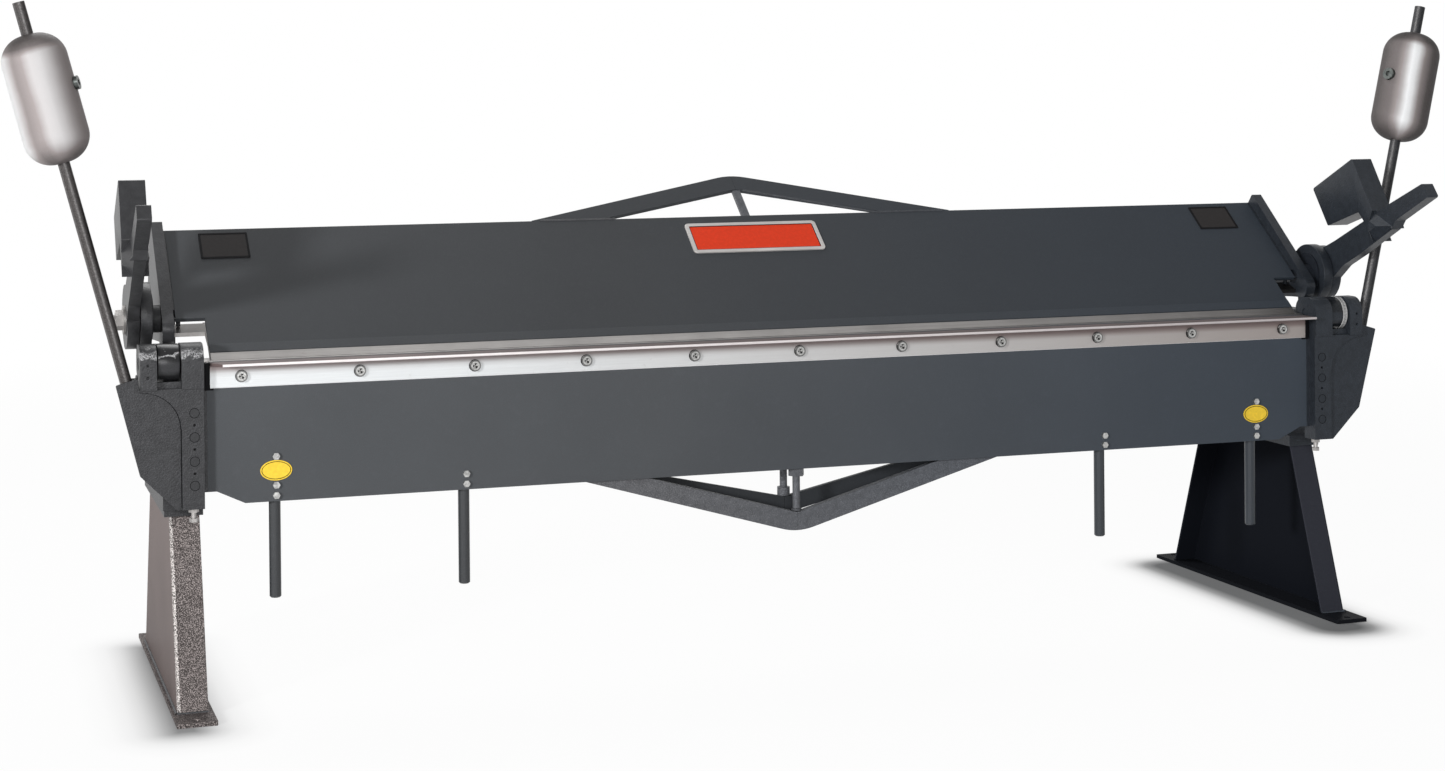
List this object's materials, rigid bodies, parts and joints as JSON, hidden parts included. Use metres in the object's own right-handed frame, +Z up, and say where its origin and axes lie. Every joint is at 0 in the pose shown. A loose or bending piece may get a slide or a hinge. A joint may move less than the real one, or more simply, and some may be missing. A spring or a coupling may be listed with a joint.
{
  "type": "sheet metal folder",
  "caption": "Floor-standing hand folder for sheet metal: clamping top leaf, swinging apron with counterweights on slanted rods, truss rods and tapered legs.",
  "frame": {"origin": "middle of the whole machine on the floor: half way between the counterweight rods in X, and half way between the clamp handles' tips and the backs of the feet in Y", "axes": "+X along the bend line to the right as seen by the operator, +Y to the back, +Z up"},
  "size_m": [4.0326, 1.1702, 1.7277],
  "materials": {
    "charcoal_casting": "hammered dark grey paint on rough castings",
    "charcoal_plate": "dark grey enamel on rolled steel plate",
    "leg_paint": "hammered dark grey enamel",
    "weight_paint": "smooth mid grey paint",
    "bright_steel": "ground bare steel",
    "black_steel": "black oxide fasteners",
    "tag_yellow": "yellow enamel tags with dark rims",
    "plate_orange": "orange-red enamel with a bare metal border",
    "plate_dark": "dark blank tags"
  },
  "bodies": {
    "stand": {"left_foot_plate": "leg_paint", "right_foot_plate": "leg_paint", "left_leg": "leg_paint", "right_leg": "leg_paint", "left_end_frame": "charcoal_casting", "right_end_frame": "charcoal_casting", "left_hinge_pin": "bright_steel", "right_hinge_pin": "bright_steel", "bend_scale_ring": "bright_steel", "left_pivot_block": "charcoal_casting", "right_pivot_block": "charcoal_casting", "left_link_pin": "black_steel", "right_link_pin": "black_steel", "left_rear_pivot_pin": "black_steel", "right_rear_pivot_pin": "black_steel", "bed_web": "charcoal_plate", "bed_bar": "bright_steel", "left_bed_truss_arm": "charcoal_plate", "right_bed_truss_arm": "charcoal_plate", "bed_truss_screw": "black_steel"},
    "apron": {"apron_plate": "charcoal_plate", "apron_angle": "bright_steel", "apron_angle_screws": "black_steel", "left_outer_lift_handle": "black_steel", "left_inner_lift_handle": "black_steel", "right_outer_lift_handle": "black_steel", "right_inner_lift_handle": "black_steel", "lift_handle_screws": "black_steel", "oval_tags": "tag_yellow", "left_apron_truss_arm": "charcoal_plate", "right_apron_truss_arm": "charcoal_plate", "apron_truss_screw": "black_steel", "left_apron_hinge": "charcoal_casting", "right_apron_hinge": "charcoal_casting", "left_hinge_fasteners": "black_steel", "right_hinge_fasteners": "black_steel", "left_weight_bracket": "charcoal_casting", "right_weight_bracket": "charcoal_casting", "left_weight_rod": "weight_paint", "right_weight_rod": "weight_paint"},
    "top_leaf": {"leaf_plate": "charcoal_plate", "nose_bar": "bright_steel", "leaf_base_strip": "bright_steel", "left_leaf_arm": "charcoal_casting", "right_leaf_arm": "charcoal_casting", "leaf_truss_left": "charcoal_plate", "leaf_truss_right": "charcoal_plate", "leaf_truss_strut": "black_steel", "name_plate": "plate_orange", "blank_plates": "plate_dark"},
    "left_clamp": {"left_clamp_handle": "charcoal_casting", "left_eccentric": "bright_steel"},
    "right_clamp": {"right_clamp_handle": "charcoal_casting", "right_eccentric": "bright_steel"},
    "left_link_body": {"left_link": "charcoal_casting"},
    "right_link_body": {"right_link": "charcoal_casting"},
    "left_weight": {"left_counterweight": "weight_paint", "left_weight_screw": "black_steel"},
    "right_weight": {"right_counterweight": "weight_paint", "right_weight_screw": "black_steel"}
  },
  "joints": [
    {"name": "apron_swing", "type": "hinge", "parent": "stand", "child": "apron", "pos_m": [0, -0.22665, 0.848], "axis": [1, 0, 0], "range_deg": [-110, 0]},
    {"name": "leaf_lift", "type": "hinge", "parent": "stand", "child": "top_leaf", "pos_m": [0, 0.20335, 0.902], "axis": [1, 0, 0], "range_deg": [-3, 0]},
    {"name": "left_clamp_turn", "type": "hinge", "parent": "top_leaf", "child": "left_clamp", "pos_m": [-1.708, -0.08352, 0.94263], "axis": [1, 0, 0], "range_deg": [-90, 0]},
    {"name": "right_clamp_turn", "type": "hinge", "parent": "top_leaf", "child": "right_clamp", "pos_m": [1.708, -0.08352, 0.94263], "axis": [1, 0, 0], "range_deg": [-90, 0]},
    {"name": "left_link_swing", "type": "hinge", "parent": "left_clamp", "child": "left_link_body", "pos_m": [-1.663, -0.07645, 0.9497], "axis": [1, 0, 0], "range_deg": [-1, 95]},
    {"name": "right_link_swing", "type": "hinge", "parent": "right_clamp", "child": "right_link_body", "pos_m": [1.663, -0.07645, 0.9497], "axis": [1, 0, 0], "range_deg": [-1, 95]},
    {"name": "left_weight_slide", "type": "slide", "parent": "apron", "child": "left_weight", "axis": [-0.2525, 0.0483, 0.9664], "range_m": [-0.2, 0.05]},
    {"name": "right_weight_slide", "type": "slide", "parent": "apron", "child": "right_weight", "axis": [0.2525, 0.0483, 0.9664], "range_m": [-0.2, 0.05]}
  ],
  "couplings": [
    {"joint": "leaf_lift", "follows": "left_clamp_turn", "ratio": 0.03138},
    {"joint": "right_clamp_turn", "follows": "left_clamp_turn", "ratio": 1},
    {"joint": "left_link_swing", "follows": "left_clamp_turn", "ratio": -1.0314},
    {"joint": "right_link_swing", "follows": "left_clamp_turn", "ratio": -1.0314}
  ]
}
